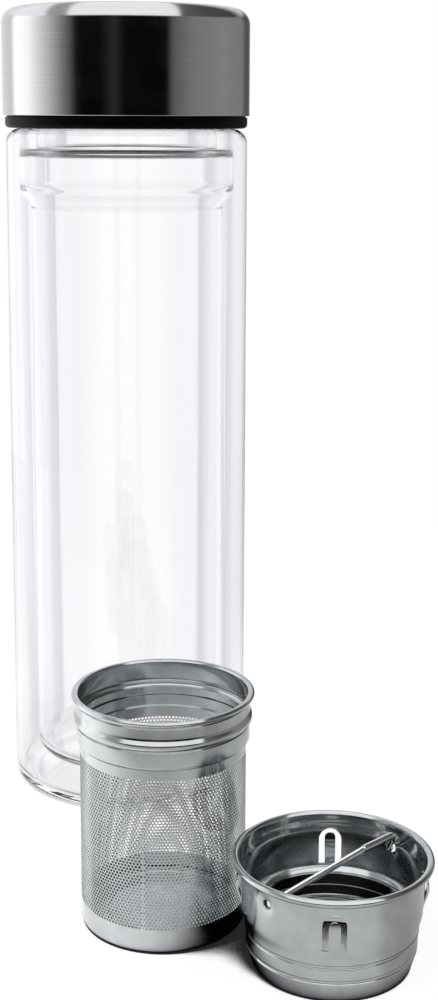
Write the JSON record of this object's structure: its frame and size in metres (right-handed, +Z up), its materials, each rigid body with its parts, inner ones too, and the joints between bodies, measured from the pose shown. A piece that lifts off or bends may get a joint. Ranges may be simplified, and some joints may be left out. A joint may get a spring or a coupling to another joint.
{
  "type": "tea infuser flask",
  "caption": "Double-walled glass flask with a steel screw lid, shown beside its perforated infuser basket and a snap-in collar with a wire bail.",
  "frame": {"origin": "centre of the flask's flat base, on the surface that all three items stand on", "axes": "+Z up along the flask's axis, the infuser basket and collar stand towards -Y"},
  "size_m": [0.1024, 0.1648, 0.2168],
  "materials": {
    "clear_glass": "clear, polished borosilicate glass",
    "brushed_steel": "brushed round the lid, satin",
    "pressed_steel": "pressed stainless sheet, bright and slightly soft",
    "black_plastic": "moulded, near black, satin",
    "silicone": "translucent white silicone, matt"
  },
  "bodies": {
    "flask": {"outer_glass": "clear_glass", "inner_glass": "clear_glass"},
    "lid_seal": {"lid_gasket": "silicone"},
    "lid": {"lid_shell": "brushed_steel", "lid_liner": "black_plastic"},
    "basket": {"basket_tube": "pressed_steel", "basket_floor": "pressed_steel", "basket_sleeve": "pressed_steel"},
    "collar": {"collar_body": "pressed_steel", "collar_plug": "pressed_steel"},
    "bail": {"bail_wire": "pressed_steel"}
  },
  "joints": [
    {"name": "lid_rise", "type": "slide", "parent": "flask", "child": "lid_seal", "axis": [0, 0, 1], "range_m": [0, 0.006]},
    {"name": "lid_turn", "type": "hinge", "parent": "lid_seal", "child": "lid", "pos_m": [0, 0, 0.2], "axis": [0, 0, 1], "range_deg": [0, 540]},
    {"name": "basket_lift", "type": "slide", "parent": "flask", "child": "basket", "axis": [0, 0, 1], "range_m": [0, 0.12]},
    {"name": "collar_lift", "type": "slide", "parent": "flask", "child": "collar", "axis": [0, 0, 1], "range_m": [0, 0.025]},
    {"name": "bail_swing", "type": "hinge", "parent": "collar", "child": "bail", "pos_m": [0.04607, -0.10843, 0.0203], "axis": [0.7716, 0.6361, 0], "continuous": true}
  ],
  "couplings": [
    {"joint": "lid_rise", "follows": "lid_turn", "m_per_rad": 0.0006366}
  ]
}
